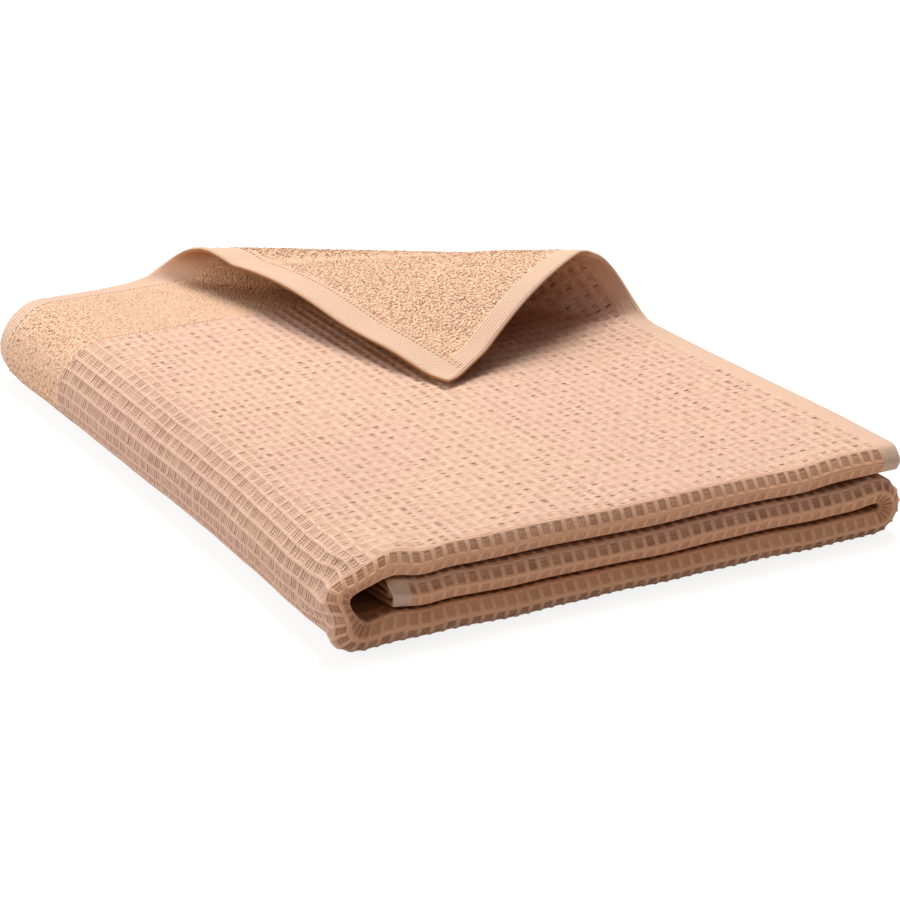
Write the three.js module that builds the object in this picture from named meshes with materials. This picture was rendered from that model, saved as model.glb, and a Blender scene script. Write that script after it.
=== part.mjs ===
import * as THREE from 'three';

// A bath towel, folded in four along its length and then in three across its width.
// Millimetres, +Z up. X runs across the folded towel, Y from its front edge to its back edge.
// The origin is on the surface it lies on, under the middle of the folded towel.

// The cloth as cut: a double-sided weave, waffle on the outside and loops on the inside.
const clothWidth = 900;
const clothLength = 1500;
const clothThickness = 2.8;

// The stack. A bundle is the four plies of the length folds, and three bundles lie on each other.
const plyPitch = 3.7;
const plies = 4;
const foldedWidth = 311.6;
const overhangDroop = 3;
const backStep = 2; // how far the inner end hem stops short of the back edge
const overhang = 33; // the outer ply reaches this far past the other three at the back edge
const backSlant = 22; // those three lie further forward at their right end

// The two folds across the width.
const rightFoldSwell = 0.6; // the tight fold is rounder than half the stack's spacing
const rightFoldReturn = 60; // radius of the soft bends behind the tight fold
const topEdgeLift = 1.7; // the free side edge lies over the swollen fold
const topEdgeFlat = 30;
const topEdgeBend = 150;

// How the towel has settled.
const backHump = 2; // the stack is fuller towards its back edge
const backHumpFrom = -60;
const backHumpTo = 170;
const spineLean = { front: 6.4, back: 13 }; // the left spine spreads towards its foot
const spineTuck = 4.7; // and is drawn in at the middle of its length
const backSlope = 13; // the back edge reaches further back towards the spine
const frontSkew = -3; // sideways run of the free side edge, at the front and at the back
const backSkew = -20.5;
const skewFrom = -60; // the skew fades out to the left of here
const cornerStretch = 31.5; // the turned-over ply reaches further back at its corner

// The turned-over corner of the top ply, a roll about a slanting axis.
// Each value has a slope for every 100 mm along the axis, counted from the corner.
const rollAngle = 27.8; // degrees between the roll's direction and the Y axis
const rollLength = { value: 166.5, slope: 24.5 };
const riseLength = { value: 9.6, slope: 1.8 };
const riseTurn = 60;
const turnLength = { value: 48, slope: 11.3 };
const fullTurn = 201.3;
const rollStretch = 1.03;
const flapBow = 11; // the turned-over cloth stands up in a bow behind its corner
const flapBowFrom = 50;
const flapBowTo = 159;
const restGap = 0.6; // air between the corner and the cloth that it rests on

// Facets.
const coarseStep = 66;
const fineStep = 8;
const arcStep = 30; // degrees

const degree = Math.PI / 180;
const outerNose = (plies - 1) / 2 * plyPitch;
const innerNose = plyPitch / 2;
const bundlePitch = plies * plyPitch;
const bundleHalf = outerNose + clothThickness / 2;
const stackHeight = 2 * bundlePitch + 2 * bundleHalf;
const topMiddle = stackHeight - bundleHalf;
const spineRadius = bundlePitch;
const rightFoldRadius = bundlePitch / 2 + rightFoldSwell;
const noseArcs = Math.PI * (outerNose + 2 * innerNose);
const plyStraight = (clothLength - noseArcs + 3 * overhang + 2 * innerNose + backStep) / 4;
const foldedDepth = plyStraight + outerNose;
const shortStraight = plyStraight - overhang;
const spineX = -foldedWidth / 2 + spineRadius + bundleHalf;
const rightFoldX = foldedWidth / 2 - rightFoldRadius - bundleHalf;

// Angle of an S-bend of two equal arcs that steps sideways by a given amount.
const bendAngle = (radius, step) => Math.acos(1 - step / (2 * radius)) / degree;

// A straight or an arc: its length, the degrees it turns to the left, and its facets.
function straight(length, steps = Math.ceil(length / coarseStep)) {
  return { length, turn: 0, steps };
}

function arc(radius, turn, steps = Math.ceil(Math.abs(turn) / arcStep)) {
  return { length: radius * Math.abs(turn) * degree, turn, steps };
}

// The length folds, in the Y plane: the outer ply runs forward on top, round the outer nose and
// back below, and the inner ply runs forward from the back nose, round the inner nose and back.
const lengthFolds = {
  start: [foldedDepth / 2, outerNose],
  stretches: [
    straight(plyStraight),
    arc(outerNose, 180),
    straight(shortStraight - innerNose),
    arc(innerNose, 180, 3),
    straight(shortStraight - innerNose),
    arc(innerNose, -180, 4),
    straight(shortStraight - backStep),
  ],
};

// The width folds, in the X plane: top bundle, left spine, bottom bundle, right fold, middle bundle.
const liftAngle = bendAngle(topEdgeBend, topEdgeLift);
const liftRun = 2 * topEdgeBend * Math.sin(liftAngle * degree);
const returnAngle = bendAngle(rightFoldReturn, 2 * rightFoldSwell);
const widthFolds = {
  start: [foldedWidth / 2, topMiddle + topEdgeLift],
  stretches: [
    straight(topEdgeFlat),
    arc(topEdgeBend, liftAngle, 2),
    arc(topEdgeBend, -liftAngle, 2),
    straight(foldedWidth / 2 - spineX - topEdgeFlat - liftRun),
    arc(spineRadius, 180, 8),
    straight(rightFoldX - spineX),
    arc(rightFoldRadius, 180, 7),
    arc(rightFoldReturn, returnAngle, 1),
    arc(rightFoldReturn, -returnAngle, 1),
  ],
};
const sumLength = (stretches) => stretches.reduce((sum, stretch) => sum + stretch.length, 0);
widthFolds.stretches.push(straight(clothWidth - sumLength(widthFolds.stretches)));
const topRun = sumLength(widthFolds.stretches.slice(0, 4));

// Walks a distance along stretches. It gives the place reached, and the heading in radians.
function walk(stretches, start, startHeading, distance) {
  let [a, b] = start;
  let heading = startHeading;
  let left = distance;
  for (const { length, turn } of stretches) {
    const part = Math.min(left, length);
    const bend = turn * degree * part / length;
    const chord = Math.abs(bend) < 1e-9 ? part : 2 * part / bend * Math.sin(bend / 2);
    a += chord * Math.cos(heading + bend / 2);
    b += chord * Math.sin(heading + bend / 2);
    heading += bend;
    left -= part;
    if (left <= 0) break;
  }
  return { a, b, heading };
}

// Rises smoothly from 0 to 1 between two values.
const ramp = (from, to, value) => THREE.MathUtils.smoothstep(value, from, to);

const sloped = ({ value, slope }, along) => value + slope * along / 100;

// How far the plies slide along their own planes. Towards the right, the free side edge of the top
// bundle runs askew, its outer ply is drawn back, and the plies that stop short come forward.
function slide(x, y, isTop, isOuter) {
  const share = ramp(skewFrom, foldedWidth / 2, x);
  const skew = isTop ? THREE.MathUtils.lerp(frontSkew, backSkew, y / foldedDepth + 0.5) : 0;
  const pull = isOuter ? (isTop ? cornerStretch : 0) : -backSlant;
  return new THREE.Vector2(x + share * skew, y + share * pull * ramp(0, foldedDepth / 2, y));
}

// The turned-over corner. The cloth past the roll's start line rises, turns over and runs back.
const rollWay = new THREE.Vector2(Math.sin(rollAngle * degree), Math.cos(rollAngle * degree));
const rollAxis = new THREE.Vector2(rollWay.y, -rollWay.x);
const flatCorner = new THREE.Vector2(foldedWidth / 2 + backSkew, foldedDepth / 2 + cornerStretch);

function pastRollLine(place) {
  const along = place.dot(rollAxis) - flatCorner.dot(rollAxis);
  const past = place.dot(rollWay) - flatCorner.dot(rollWay) + sloped(rollLength, along);
  return { along, past };
}

function turnOver(place) {
  const { along, past } = pastRollLine(place);
  if (past <= 0) return { moved: place, height: 0, heading: 0 };
  const roll = [
    { length: Math.max(sloped(riseLength, along), 2), turn: riseTurn },
    { length: sloped(turnLength, along), turn: fullTurn - riseTurn },
    { length: clothLength, turn: 0 },
  ];
  const { a, b, heading } = walk(roll, [0, 0], 0, past * rollStretch);
  const turned = ramp(150, 190, heading / degree);
  const least = turned * (clothThickness + restGap);
  const lying = b > least + 2 ? b : least + 2 * Math.exp((b - least) / 2 - 1);
  const bowShare = THREE.MathUtils.clamp((past - flapBowFrom) / (flapBowTo - flapBowFrom), 0, 1);
  const height = lying + flapBow * 4 * bowShare * (1 - bowShare);
  return { moved: place.addScaledVector(rollWay, a - past), height, heading };
}

// The stack settles: it is fuller at the back, and its left spine spreads.
function settle(point) {
  const level = THREE.MathUtils.clamp(point.z / stackHeight, 0, 1);
  const back = point.y / foldedDepth + 0.5;
  const atSpine = 1 - ramp(spineX - 20, spineX + 60, point.x);
  const spread = THREE.MathUtils.lerp(spineLean.front, spineLean.back, back) * (level - 0.5);
  const toLeft = 1 - ramp(-foldedWidth / 2, foldedWidth / 2, point.x);
  point.x += (spread + spineTuck * Math.sin(Math.PI * back)) * atSpine;
  point.y += backSlope * toLeft * ramp(0, foldedDepth / 2, point.y);
  point.z += backHump * level * ramp(backHumpFrom, backHumpTo, point.y);
  return point;
}

// A point of the cloth, from its place along the length and across the width. Side is 1 on the
// waffle face and -1 on the looped face.
function clothPoint(along, across, side) {
  const lengthAt = walk(lengthFolds.stretches, lengthFolds.start, Math.PI, along);
  const widthAt = walk(widthFolds.stretches, widthFolds.start, Math.PI, across);
  const isTop = across <= topRun + 1e-6;
  const isOuter = along <= plyStraight + 1e-6;
  const isTurned = isTop && isOuter;
  const offset = side * clothThickness / 2;
  const past = Math.max(overhang - along, 0) / overhang;
  const droop = overhangDroop * past ** 2 * ramp(topRun - 90, topRun - 30, across);
  const out = lengthAt.b - droop - (isTurned ? 0 : offset * Math.cos(lengthAt.heading));
  const y = lengthAt.a + (isTurned ? 0 : offset * Math.sin(lengthAt.heading));
  const x = widthAt.a + (isTop ? 0 : out * Math.sin(widthAt.heading));
  const z = widthAt.b - (isTop ? -out : out * Math.cos(widthAt.heading));
  const place = slide(x, y, isTop, isOuter);
  if (!isTurned) return settle(new THREE.Vector3(place.x, place.y, z));
  const { moved, height, heading } = turnOver(place);
  moved.addScaledVector(rollWay, -Math.sin(heading) * offset);
  return settle(new THREE.Vector3(moved.x, moved.y, z + height + offset * Math.cos(heading)));
}

// Grid lines along one direction of the cloth, from its stretches.
function gridLines(stretches) {
  const lines = [0];
  for (const { length, steps } of stretches) {
    const from = lines[lines.length - 1];
    for (let step = 1; step <= steps; step += 1) lines.push(from + length * step / steps);
  }
  return lines;
}

// The same stretch of line cut into fine steps where the corner is turned over.
function cut(from, to, fine) {
  const count = fine ? Math.ceil((to - from) / fineStep) : 1;
  return Array.from({ length: count + 1 }, (_, index) => from + (to - from) * index / count);
}

// Flat triangles of the cloth in length and width coordinates. Coarse cells beside fine ones
// take the fine cells' edge points and close with a fan.
function layOut() {
  const rows = gridLines(lengthFolds.stretches);
  const columns = gridLines(widthFolds.stretches);
  const isFine = (row, column) => {
    if (row < 0 || column < 0 || rows[row + 1] > plyStraight + 1e-6) return false;
    if (!(columns[column + 1] <= topRun + 1e-6)) return false;
    const corner = slide(foldedDepth / 2 - rows[row], foldedWidth / 2 - columns[column], true, true);
    return pastRollLine(corner).past > 0;
  };
  const points = [];
  const known = new Map();
  const triangles = [];
  const pointAt = (along, across) => {
    const key = `${along.toFixed(4)} ${across.toFixed(4)}`;
    if (!known.has(key)) known.set(key, points.push([along, across]) - 1);
    return known.get(key);
  };
  const addQuad = (a, b, c, d) => triangles.push([a, b, c], [a, c, d]);
  for (let row = 0; row < rows.length - 1; row += 1) {
    for (let column = 0; column < columns.length - 1; column += 1) {
      const fine = isFine(row, column);
      const [s0, s1] = [rows[row], rows[row + 1]];
      const [t0, t1] = [columns[column], columns[column + 1]];
      if (fine) {
        const alongs = cut(s0, s1, true);
        const acrosses = cut(t0, t1, true);
        for (let i = 0; i < alongs.length - 1; i += 1) {
          for (let j = 0; j < acrosses.length - 1; j += 1) {
            addQuad(
              pointAt(alongs[i], acrosses[j]),
              pointAt(alongs[i + 1], acrosses[j]),
              pointAt(alongs[i + 1], acrosses[j + 1]),
              pointAt(alongs[i], acrosses[j + 1]),
            );
          }
        }
        continue;
      }
      const ring = [
        ...cut(s0, s1, isFine(row, column - 1)).slice(0, -1).map((along) => pointAt(along, t0)),
        ...cut(t0, t1, isFine(row + 1, column)).slice(0, -1).map((across) => pointAt(s1, across)),
        ...cut(s0, s1, isFine(row, column + 1)).slice(1).reverse().map((along) => pointAt(along, t1)),
        ...cut(t0, t1, isFine(row - 1, column)).slice(1).reverse().map((across) => pointAt(s0, across)),
      ];
      if (ring.length === 4) {
        addQuad(...ring);
        continue;
      }
      const centre = pointAt((s0 + s1) / 2, (t0 + t1) / 2);
      ring.forEach((point, index) => triangles.push([centre, point, ring[(index + 1) % ring.length]]));
    }
  }
  return { points, triangles };
}

// The closed solid of the cloth: its waffle face, its looped face and the rim between them.
function clothGeometry() {
  const { points, triangles } = layOut();
  const positions = [];
  for (const side of [1, -1]) {
    for (const [along, across] of points) positions.push(...clothPoint(along, across, side).toArray());
  }
  const under = points.length;
  const index = [];
  const edges = new Map();
  for (const [a, b, c] of triangles) {
    index.push(a, c, b, a + under, b + under, c + under);
    for (const [from, to] of [[a, b], [b, c], [c, a]]) edges.set(`${from} ${to}`, [from, to]);
  }
  for (const [from, to] of edges.values()) {
    if (edges.has(`${to} ${from}`)) continue;
    index.push(from, to, to + under, from, to + under, from + under);
  }
  const geometry = new THREE.BufferGeometry();
  geometry.setAttribute('position', new THREE.Float32BufferAttribute(positions, 3));
  geometry.setIndex(index);
  geometry.computeVertexNormals();
  geometry.computeBoundingBox();
  const middle = geometry.boundingBox.getCenter(new THREE.Vector3());
  return geometry.translate(-middle.x, -middle.y, 0);
}

const material = new THREE.MeshStandardMaterial({ color: 0xefc3a2, roughness: 0.95, metalness: 0 });
const towel = new THREE.Mesh(clothGeometry(), material);
towel.name = 'towel';

const group = new THREE.Group();
group.add(towel);

export default group;
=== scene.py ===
import math

import bpy
import numpy as np
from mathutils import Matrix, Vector
from mathutils.bvhtree import BVHTree


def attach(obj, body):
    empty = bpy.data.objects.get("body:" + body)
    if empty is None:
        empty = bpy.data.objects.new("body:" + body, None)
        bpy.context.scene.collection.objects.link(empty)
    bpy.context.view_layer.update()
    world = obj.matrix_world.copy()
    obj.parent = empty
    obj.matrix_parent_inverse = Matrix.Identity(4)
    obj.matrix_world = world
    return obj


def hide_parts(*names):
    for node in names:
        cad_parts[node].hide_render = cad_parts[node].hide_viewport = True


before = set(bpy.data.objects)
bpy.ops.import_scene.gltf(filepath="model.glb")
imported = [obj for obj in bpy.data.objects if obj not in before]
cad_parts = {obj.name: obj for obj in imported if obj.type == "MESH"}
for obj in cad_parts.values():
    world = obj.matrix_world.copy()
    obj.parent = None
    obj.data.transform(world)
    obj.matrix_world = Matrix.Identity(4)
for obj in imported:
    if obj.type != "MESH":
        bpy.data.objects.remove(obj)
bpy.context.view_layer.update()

mm = 0.001
slack, hair = 0.01, 1e-6   # mm, for places that lie on a line
rng = np.random.default_rng(7)


# camera, at the photograph's angle
shot = {
    "turn": 28.475,        # degrees round from the front
    "rise": 21.527,        # degrees above the table
    "distance": 1562.6,    # mm from the middle of the folded towel
    "aside": 12.9,         # mm that the view is moved to the right
    "up": 1.64,
    "lens": 120,           # mm
    "sensor": 36,
    "clipEnd": 20,         # m
}


def aimCamera(shot):
    turn, rise = math.radians(shot["turn"]), math.radians(shot["rise"])
    right = Vector((math.cos(turn), -math.sin(turn), 0))
    ahead = Vector((math.sin(turn) * math.cos(rise), math.cos(turn) * math.cos(rise), -math.sin(rise)))
    up = right.cross(ahead)
    data = bpy.data.cameras.new("camera")
    data.lens = shot["lens"]
    data.sensor_width = shot["sensor"]
    data.clip_end = shot["clipEnd"]
    camera = bpy.data.objects.new("camera", data)
    bpy.context.scene.collection.objects.link(camera)
    middle = Vector(fold["middle"]) * -1
    camera.location = (middle + right * shot["aside"] + up * shot["up"] - ahead * shot["distance"]) * mm
    camera.rotation_euler = ahead.to_track_quat("-Z", "Y").to_euler()
    bpy.context.scene.camera = camera


# the folds, in mm, as the solids have them
fold = {
    "width": 900, "length": 1500, "thickness": 2.8,
    "plyPitch": 3.7, "foldedWidth": 311.6,
    "overhang": 33, "backStep": 2, "backSlant": 22,
    "droop": 3, "droopFrom": 90, "droopTo": 30,   # the overhang sinks near the spine
    "foldSwell": 0.6, "foldReturn": 60,
    "topLift": 1.7, "topFlat": 30, "topBend": 150,
    "hump": 2, "humpFrom": -60, "humpTo": 170,
    "leanFront": 6.4, "leanBack": 13, "tuck": 4.7, "backSlope": 13,
    "frontSkew": -3, "backSkew": -20.5, "skewFrom": -60, "cornerStretch": 31.5,
    "middle": (-0.08, 5.8, 0),   # of the folded towel's outline
}

roll = {
    "angle": 27.8,               # degrees from the Y axis
    "length": (166.5, 24.5),     # each pair has its slope for 100 mm along the axis
    "riseLength": (9.6, 1.8),
    "turnLength": (48, 11.3),
    "riseTurn": 60, "fullTurn": 201.3,
    "leastLengths": (2, 5),      # of the rise and of the turn
    "stretch": 1.03, "restGap": 0.6,
    "landing": (150, 190),       # degrees turned when it comes down, and when it lies still
    "easing": 2,
    "bow": 11, "bowFrom": 50, "bowTo": 159,   # the turned-over cloth stands up behind its corner
}

outerNose = 1.5 * fold["plyPitch"]
innerNose = 0.5 * fold["plyPitch"]
bundlePitch = 4 * fold["plyPitch"]
bundleHalf = outerNose + fold["thickness"] / 2
stackHeight = 2 * bundlePitch + 2 * bundleHalf
faceOut = fold["thickness"] / 2
noseArcs = math.pi * (outerNose + 2 * innerNose)
plyStraight = (fold["length"] - noseArcs + 3 * fold["overhang"] + 2 * innerNose + fold["backStep"]) / 4
foldedDepth = plyStraight + outerNose
shortStraight = plyStraight - fold["overhang"]
halfWidth = fold["foldedWidth"] / 2
spineRadius = bundlePitch
spineX = -halfWidth + spineRadius + bundleHalf
foldRadius = bundlePitch / 2 + fold["foldSwell"]
foldX = halfWidth - foldRadius - bundleHalf


def arc(radius, turn):
    return radius * math.radians(abs(turn)), turn


def bendAngle(radius, step):
    return math.degrees(math.acos(1 - step / (2 * radius)))


# each stretch is its length and the degrees that it turns to the left, and the last outruns the cloth
lengthFolds = [
    (plyStraight, 0),
    arc(outerNose, 180),
    (shortStraight - innerNose, 0),
    arc(innerNose, 180),
    (shortStraight - innerNose, 0),
    arc(innerNose, -180),
    (10 * shortStraight, 0),
]
liftAngle = bendAngle(fold["topBend"], fold["topLift"])
returnAngle = bendAngle(fold["foldReturn"], 2 * fold["foldSwell"])
topBends = 2 * fold["topBend"] * math.sin(math.radians(liftAngle))
topStraight = halfWidth - spineX - fold["topFlat"] - topBends
widthFolds = [
    (fold["topFlat"], 0),
    arc(fold["topBend"], liftAngle),
    arc(fold["topBend"], -liftAngle),
    (topStraight, 0),
    arc(spineRadius, 180),
    (foldX - spineX, 0),
    arc(foldRadius, 180),
    arc(fold["foldReturn"], returnAngle),
    arc(fold["foldReturn"], -returnAngle),
    (fold["width"], 0),
]
topRun = sum(length for length, turn in widthFolds[:4])
spineEnd = topRun + widthFolds[4][0]
foldStart = spineEnd + widthFolds[5][0]
foldEnd = foldStart + widthFolds[6][0]
noseEnd = plyStraight + lengthFolds[1][0]


def walk(stretches, start, heading, distance):
    a = np.full(distance.shape, float(start[0]))
    b = np.full(distance.shape, float(start[1]))
    heading = np.full(distance.shape, float(heading))
    left = distance.copy()
    for length, turn in stretches:
        part = np.minimum(left, length)
        bend = np.radians(turn) * part / length
        chord = part * np.sinc(bend / (2 * np.pi))
        a += chord * np.cos(heading + bend / 2)
        b += chord * np.sin(heading + bend / 2)
        heading += bend
        left -= part
    return a, b, heading


def ramp(low, high, value):
    share = np.clip((value - low) / (high - low), 0, 1)
    return share * share * (3 - 2 * share)


rollWay = np.array((math.sin(math.radians(roll["angle"])), math.cos(math.radians(roll["angle"]))))
rollAxis = np.array((rollWay[1], -rollWay[0]))
flatCorner = np.array((halfWidth + fold["backSkew"], foldedDepth / 2 + fold["cornerStretch"]))


def sloped(pair, along):
    return pair[0] + pair[1] * along / 100


def pastRollLine(x, y):
    along = (x - flatCorner[0]) * rollAxis[0] + (y - flatCorner[1]) * rollAxis[1]
    ahead = (x - flatCorner[0]) * rollWay[0] + (y - flatCorner[1]) * rollWay[1]
    return along, ahead + sloped(roll["length"], along)


# how a place on the flat top ply moves when the corner is turned over
def turnOver(x, y):
    along, past = pastRollLine(x, y)
    past = np.maximum(past, 0)
    stretches = [
        (np.maximum(sloped(roll["riseLength"], along), roll["leastLengths"][0]), roll["riseTurn"]),
        (np.maximum(sloped(roll["turnLength"], along), roll["leastLengths"][1]),
         roll["fullTurn"] - roll["riseTurn"]),
        (fold["length"], 0),
    ]
    a, b, heading = walk(stretches, (0, 0), 0, past * roll["stretch"])
    least = ramp(*roll["landing"], np.degrees(heading)) * (fold["thickness"] + roll["restGap"])
    easing = roll["easing"]
    eased = least + easing * np.exp(np.minimum((b - least) / easing - 1, 0))
    height = np.where(b > least + easing, b, eased)
    share = np.clip((past - roll["bowFrom"]) / (roll["bowTo"] - roll["bowFrom"]), 0, 1)
    height = height + roll["bow"] * 4 * share * (1 - share)
    height = np.where(past > 0, height, 0)
    moved = a - past
    return x + rollWay[0] * moved, y + rollWay[1] * moved, height, heading


# slow waves keep the plies from lying dead flat and the weave's lines from running dead straight:
# each has its height in mm, how quick it is along two directions, and a start of its own
waves = {
    "top": (0.6, 1, 1, 1.3), "spine": (1.2, 1, 1, 4.2),
    "front": (1.9, 1.3, 3, 2.2), "frontSag": (1.5, 1.9, 2, 5.1),
    "crumpleOut": (1.5, 7, 5, 1.7), "crumpleUp": (1.5, 8, 4, 4.4),
    "weaveAlong": (0.7, 1.2, 1, 0.9), "weaveAcross": (0.7, 1, 1.4, 3.3),
}
# mm to a radian along each direction, how much of the start it takes, and its share
waveParts = ((61, 97, 1, 1), (113, -43, 2.1, 1), (29, 83, 0.7, 0.6))
uneven = {
    "spineFrom": 20, "spineTo": 60, "frontReach": 60,
    "frontSpread": 4,                      # the lower plies stand further out at the front
    "frontLift": 1.6, "liftQuick": 4.5, "liftStart": 2.7,
    "crumpleBack": 0.2,                    # share of the spine's crumples that goes on to the back
    "endCrumple": 2.3, "endReach": 34,     # the spine's front end is the most crumpled
    "ripplesOut": (3.9, 9, 0.6), "ripplesUp": (5.1, -12, 2.4),
}


def slowWave(a, b, start):
    total = sum(share * np.sin(a / first + b / second + ownStart * start)
                for first, second, ownStart, share in waveParts)
    return total / sum(part[3] for part in waveParts)


def wave(name, a, b):
    height, quickA, quickB, start = waves[name]
    return height * slowWave(quickA * a, quickB * b, start)


def ripple(lengths, a, b):
    first, second, start = lengths
    return np.sin(a / first + b / second + start)


# how the folded cloth leans, spreads and crumples as it lies
def settle(x, y, z):
    level = np.clip(z / stackHeight, 0, 1)
    atSpine = 1 - ramp(spineX - uneven["spineFrom"], spineX + uneven["spineTo"], x)
    back = y / foldedDepth + 0.5
    spread = (fold["leanFront"] + (fold["leanBack"] - fold["leanFront"]) * back) * (level - 0.5)
    x = x + (spread + fold["tuck"] * np.sin(np.pi * back)) * atSpine
    y = y + fold["backSlope"] * (1 - ramp(-halfWidth, halfWidth, x)) * ramp(0, foldedDepth / 2, y)
    z = z + fold["hump"] * level * ramp(fold["humpFrom"], fold["humpTo"], y)
    z = z + level * wave("top", x, y)
    x = x + atSpine * wave("spine", y, z)

    frontEdge = -foldedDepth / 2
    atFront = 1 - ramp(frontEdge, frontEdge + uneven["frontReach"], y)
    y = y + atFront * wave("front", x, z)
    y = y - uneven["frontSpread"] * atFront * (1 - level)
    upperHalf = np.minimum(2 * level, 1)
    z = z + atFront * upperHalf * wave("frontSag", x, z)
    lifted = np.clip(0.5 + 0.5 * slowWave(uneven["liftQuick"] * x, 0, uneven["liftStart"]), 0, 1)
    z = z + uneven["frontLift"] * atFront ** 2 * (1 - level) * lifted

    atEnd = atSpine * (1 - ramp(frontEdge, frontEdge + uneven["endReach"], y))
    x = x + uneven["endCrumple"] * atEnd * ripple(uneven["ripplesOut"], z, y)
    z = z + uneven["endCrumple"] * atEnd * upperHalf * ripple(uneven["ripplesUp"], x, y)
    crumple = atSpine * (uneven["crumpleBack"] + (1 - uneven["crumpleBack"]) * atFront)
    x = x + crumple * wave("crumpleOut", y, z)
    z = z + crumple * level * wave("crumpleUp", y, x)
    return x, y, z


# the plies' right ends are drawn aside on top and pulled out or in at the back
def skewEnd(x, y, isTop, pull):
    share = ramp(fold["skewFrom"], halfWidth, x)
    skew = fold["frontSkew"] + (fold["backSkew"] - fold["frontSkew"]) * (y / foldedDepth + 0.5)
    return x + np.where(isTop, share * skew, 0), y + share * pull * ramp(0, foldedDepth / 2, y)


# the cloth's place at a distance along and across it, and out from its middle towards the waffle face
def clothPoint(along, across, out):
    along, across, out = np.broadcast_arrays(along, across, out)
    a, b, turnA = walk(lengthFolds, (foldedDepth / 2, outerNose), math.pi, along.astype(float))
    c, d, turnC = walk(widthFolds, (halfWidth, stackHeight - bundleHalf + fold["topLift"]), math.pi,
                       across.astype(float))
    isTop = across <= topRun + hair
    isOuter = along <= plyStraight + hair
    isTurned = isTop & isOuter
    hang = np.clip(fold["overhang"] - along, 0, fold["overhang"]) / fold["overhang"]
    nearSpine = ramp(topRun - fold["droopFrom"], topRun - fold["droopTo"], across)
    droop = fold["droop"] * hang ** 2 * nearSpine
    lift = b - droop - np.where(isTurned, 0, out * np.cos(turnA))
    y = a + np.where(isTurned, 0, out * np.sin(turnA))
    x = c + np.where(isTop, 0, lift * np.sin(turnC))
    z = d - np.where(isTop, -lift, lift * np.cos(turnC))
    pull = np.where(isOuter, np.where(isTop, fold["cornerStretch"], 0), -fold["backSlant"])
    x, y = skewEnd(x, y, isTop, pull)
    turnedX, turnedY, height, heading = turnOver(x, y)
    x = np.where(isTurned, turnedX - np.sin(heading) * out * rollWay[0], x)
    y = np.where(isTurned, turnedY - np.sin(heading) * out * rollWay[1], y)
    z = np.where(isTurned, z + height + out * np.cos(heading), z)
    x, y, z = settle(x, y, z)
    middle = fold["middle"]
    return np.stack((x - middle[0], y - middle[1], z), -1) * mm


# the weave: distances over the outer face of the folded cloth, in mm
weave = {
    "cellWidth": 6.23, "rowPitch": 8.1,
    "sideHem": 9, "endHem": 16, "rows": 40,
    "spineBend": (12, 14),          # how far before and past the top's edge the spine's bend sets in
    "noseBend": 1.6,                # rows from a front fold's tip that its bend reaches
    "foldRows": 2,                  # rows on each side of the tip that are in relief
    "wobbleFades": (40, 30, 40),    # from the end hem and the two side hems
    "wobbleUntil": (40, 60),        # past the front fold
}
noseFace = math.pi / 2 * bundleHalf
spineFace = math.pi * (spineRadius + bundleHalf)
foldFace = math.pi * (foldRadius + bundleHalf)
acrossKnots = np.array((0, topRun, spineEnd, foldStart, foldEnd, fold["width"]))
acrossFaceKnots = np.cumsum((0, topRun, spineFace, foldStart - spineEnd, foldFace,
                             fold["width"] - foldEnd))
alongKnots = np.array((0, plyStraight, noseEnd, fold["length"]))
alongFaceKnots = np.array((noseFace + plyStraight, noseFace, -noseFace,
                           noseEnd - noseFace - fold["length"]))


def cellsAcross(across):
    return (np.interp(across, acrossKnots, acrossFaceKnots) - weave["sideHem"]) / weave["cellWidth"]


def cellsAlong(along):
    return np.interp(along, alongKnots, alongFaceKnots) / weave["rowPitch"]


def acrossAtCell(cell):
    onFace = np.asarray(cell) * weave["cellWidth"] + weave["sideHem"]
    return np.interp(onFace, acrossFaceKnots, acrossKnots)


def alongAtCell(cell):
    return np.interp(np.asarray(cell) * weave["rowPitch"], alongFaceKnots[::-1], alongKnots[::-1])


borderEnd = float(alongAtCell(weave["rows"]))
hemLine = fold["length"] - weave["endHem"]
sideLine = fold["width"] - weave["sideHem"]
lastColumn = int(cellsAcross(sideLine))


relief = {
    "depth": 1.0,
    "cellLines": (0.06, 0.21, 0.79, 0.94),     # mesh lines in each cell
    "ridge": (0.05, 0.22),                     # from its top to its foot, in cells
    "least": 0.65, "more": 0.4,                # no two pits are equally deep
    "flat": 0.5, "spine": 0.6, "nose": 0.27,   # and the bends deepen them
    "lowRows": 0.65,                           # how far the rows' ridges sink at the spine
    "fadeIn": 12,
}


# a number from 0 to 1 for each cell, the same in every run
def cellNumber(u, v):
    value = np.sin(np.floor(u) * 12.9898 + np.floor(v) * 78.233) * 43758.5453
    return value - np.floor(value)


def waffleRelief(along, across):
    u, v = cellsAcross(across), cellsAlong(along)
    atSpine = ramp(topRun - weave["spineBend"][0], topRun + weave["spineBend"][1], across)
    atNose = ramp(weave["noseBend"], 0, v)
    columnPit, rowPit = (ramp(*relief["ridge"], np.abs(part - np.round(part))) for part in (u, v))
    rowRidge = (1 - rowPit) * (1 - relief["lowRows"] * atSpine * (1 - atNose))
    depth = relief["depth"] * (relief["least"] + relief["more"] * cellNumber(u, v))
    depth = depth * (relief["flat"] + np.maximum(relief["spine"] * atSpine, relief["nose"] * atNose))
    inside = ramp(0, relief["fadeIn"], along - borderEnd) * ramp(0, 1, across - weave["sideHem"])
    return -depth * columnPit * (1 - rowRidge) * inside


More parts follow.
